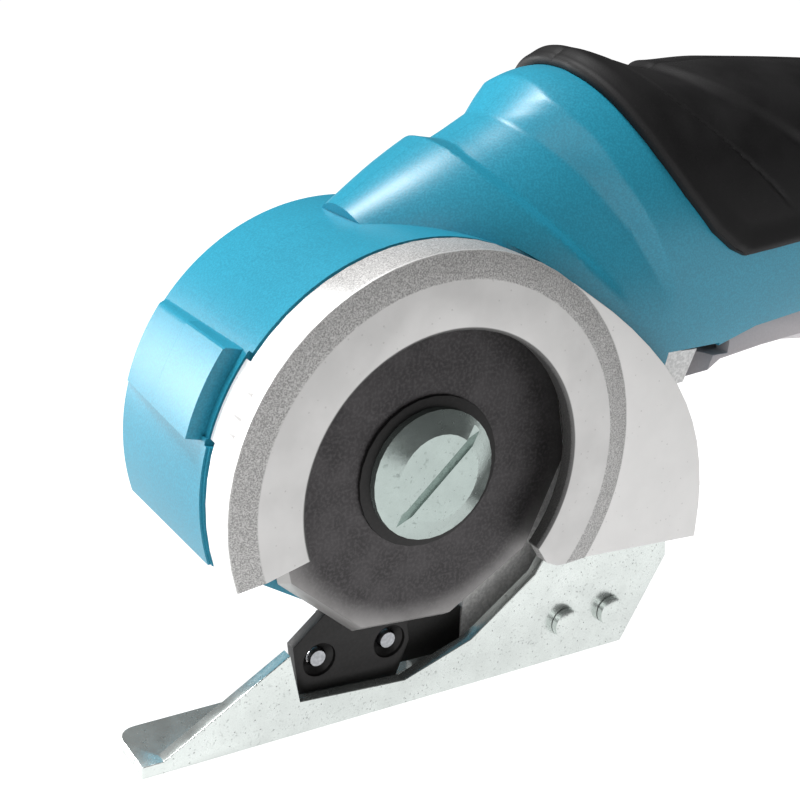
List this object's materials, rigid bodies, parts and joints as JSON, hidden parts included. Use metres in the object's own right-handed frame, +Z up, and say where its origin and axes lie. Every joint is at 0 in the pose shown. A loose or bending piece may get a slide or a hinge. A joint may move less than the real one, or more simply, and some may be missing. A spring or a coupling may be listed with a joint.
{
  "type": "cordless rotary cutter",
  "caption": "Hand-held rotary cutter: a ten-sided wheel blade in a die-cast guard shears sheet against a fixed blade on a slim flat shoe; paddle lever, slide-off battery.",
  "frame": {"origin": "in the cutting plane, on the underside of the shoe, straight below the blade axis", "axes": "+Z up, -X towards the cutting end, +X along the grip to the battery, -Y the blade side"},
  "size_m": [0.3109, 0.0512, 0.0959],
  "materials": {
    "teal_plastic": "fine textured moulding",
    "grip_rubber": "matt overmoulded rubber",
    "die_cast": "sand textured die casting",
    "zinc_plate": "bright zinc plated sheet",
    "blade_steel": "stone washed tool steel",
    "black_oxide": "black oxide on steel",
    "machined_steel": "machined",
    "grey_plastic": "fine satin moulding",
    "black_plastic": "fine textured moulding",
    "copper": "drawn",
    "cell_wrap": "heat shrunk film"
  },
  "bodies": {
    "frame": {"shoe": "zinc_plate", "shoe_pin_front": "zinc_plate", "shoe_pin_rear": "zinc_plate", "motor_can": "zinc_plate", "housing_screw_1": "zinc_plate", "housing_screw_2": "zinc_plate", "housing_screw_3": "zinc_plate", "housing_screw_4": "zinc_plate", "fixed_blade": "black_oxide", "shoe_bracket": "black_oxide", "magnet_near": "black_oxide", "magnet_far": "black_oxide", "brush_upper": "black_oxide", "brush_lower": "black_oxide", "spindle_bearing_near": "machined_steel", "spindle_bearing_far": "machined_steel", "fixed_blade_screw_front": "machined_steel", "fixed_blade_screw_rear": "machined_steel", "idler_bearing": "machined_steel", "drive_bearing": "machined_steel", "ring_gear": "machined_steel", "lever_pin": "machined_steel", "lever_spring": "machined_steel", "guard_cover": "die_cast", "gear_case": "die_cast", "idler_bush": "copper", "housing_near": "teal_plastic", "housing_far": "teal_plastic", "grip_rubber_near": "grip_rubber", "grip_rubber_far": "grip_rubber", "motor_end_cap": "black_plastic", "switch_body": "black_plastic", "terminal_block": "black_plastic"},
    "blade_spindle": {"rotary_blade": "blade_steel", "blade_bolt": "zinc_plate", "outer_flange": "black_oxide", "inner_flange": "machined_steel", "spindle": "machined_steel", "spindle_gear": "machined_steel"},
    "idler": {"idler_shaft": "machined_steel", "idler_pinion": "machined_steel", "bevel_wheel": "machined_steel"},
    "carrier": {"bevel_pinion": "machined_steel", "planet_carrier": "machined_steel"},
    "planet_1": {"planet_gear_1": "machined_steel"},
    "planet_2": {"planet_gear_2": "machined_steel"},
    "planet_3": {"planet_gear_3": "machined_steel"},
    "rotor": {"motor_shaft": "machined_steel", "armature": "machined_steel", "commutator": "copper"},
    "lever": {"paddle_lever": "grey_plastic"},
    "lock_off": {"lock_off_slider": "black_plastic"},
    "plunger": {"switch_plunger": "grey_plastic"},
    "battery": {"battery_front_case": "black_plastic", "battery_rear_case": "black_plastic", "battery_cell_1": "cell_wrap", "battery_cell_2": "cell_wrap", "battery_cell_3": "cell_wrap"},
    "latch_near": {"battery_latch_near": "black_plastic"},
    "latch_far": {"battery_latch_far": "black_plastic"}
  },
  "joints": [
    {"name": "blade_spin", "type": "hinge", "parent": "frame", "child": "blade_spindle", "pos_m": [0, 0, 0.0396], "axis": [0, 1, 0], "continuous": true},
    {"name": "idler_spin", "type": "hinge", "parent": "frame", "child": "idler", "pos_m": [0.028, 0.018, 0.06566], "axis": [0, 1, 0], "continuous": true},
    {"name": "carrier_spin", "type": "hinge", "parent": "frame", "child": "carrier", "pos_m": [0.05, 0.018, 0.06566], "axis": [1, 0, 0], "continuous": true},
    {"name": "rotor_spin", "type": "hinge", "parent": "frame", "child": "rotor", "pos_m": [0.1, 0.018, 0.06566], "axis": [1, 0, 0], "continuous": true},
    {"name": "planet_1_spin", "type": "hinge", "parent": "carrier", "child": "planet_1", "pos_m": [0.059, 0.018, 0.07443], "axis": [1, 0, 0], "continuous": true},
    {"name": "planet_2_spin", "type": "hinge", "parent": "carrier", "child": "planet_2", "pos_m": [0.059, 0.0104, 0.06127], "axis": [1, 0, 0], "continuous": true},
    {"name": "planet_3_spin", "type": "hinge", "parent": "carrier", "child": "planet_3", "pos_m": [0.059, 0.0256, 0.06127], "axis": [1, 0, 0], "continuous": true},
    {"name": "lever_squeeze", "type": "hinge", "parent": "frame", "child": "lever", "pos_m": [0.067, 0.018, 0.0583], "axis": [0, -1, 0], "range_deg": [0, 2.6], "stiffness_Nm_per_rad": 1.2, "springref_deg": -2.29},
    {"name": "switch_press", "type": "slide", "parent": "frame", "child": "plunger", "axis": [0, 0, 1], "range_m": [0, 0.004]},
    {"name": "lock_off_push", "type": "slide", "parent": "lever", "child": "lock_off", "axis": [1, 0, 0], "range_m": [0, 0.003], "stiffness_N_per_m": 150, "springref_m": -0.001},
    {"name": "battery_slide_off", "type": "slide", "parent": "frame", "child": "battery", "axis": [0, 0, -1], "range_m": [0, 0.078]},
    {"name": "latch_near_press", "type": "slide", "parent": "battery", "child": "latch_near", "axis": [0, 1, 0], "range_m": [0, 0.0025], "stiffness_N_per_m": 400, "springref_m": -0.001},
    {"name": "latch_far_press", "type": "slide", "parent": "battery", "child": "latch_far", "axis": [0, -1, 0], "range_m": [0, 0.0025], "stiffness_N_per_m": 400, "springref_m": -0.001}
  ],
  "couplings": [
    {"joint": "idler_spin", "follows": "blade_spin", "ratio": -1.4286},
    {"joint": "carrier_spin", "follows": "blade_spin", "ratio": 4.2857},
    {"joint": "rotor_spin", "follows": "blade_spin", "ratio": 19.286},
    {"joint": "planet_1_spin", "follows": "blade_spin", "ratio": -12},
    {"joint": "planet_2_spin", "follows": "blade_spin", "ratio": -12},
    {"joint": "planet_3_spin", "follows": "blade_spin", "ratio": -12},
    {"joint": "switch_press", "follows": "lever_squeeze", "m_per_rad": 0.08}
  ]
}
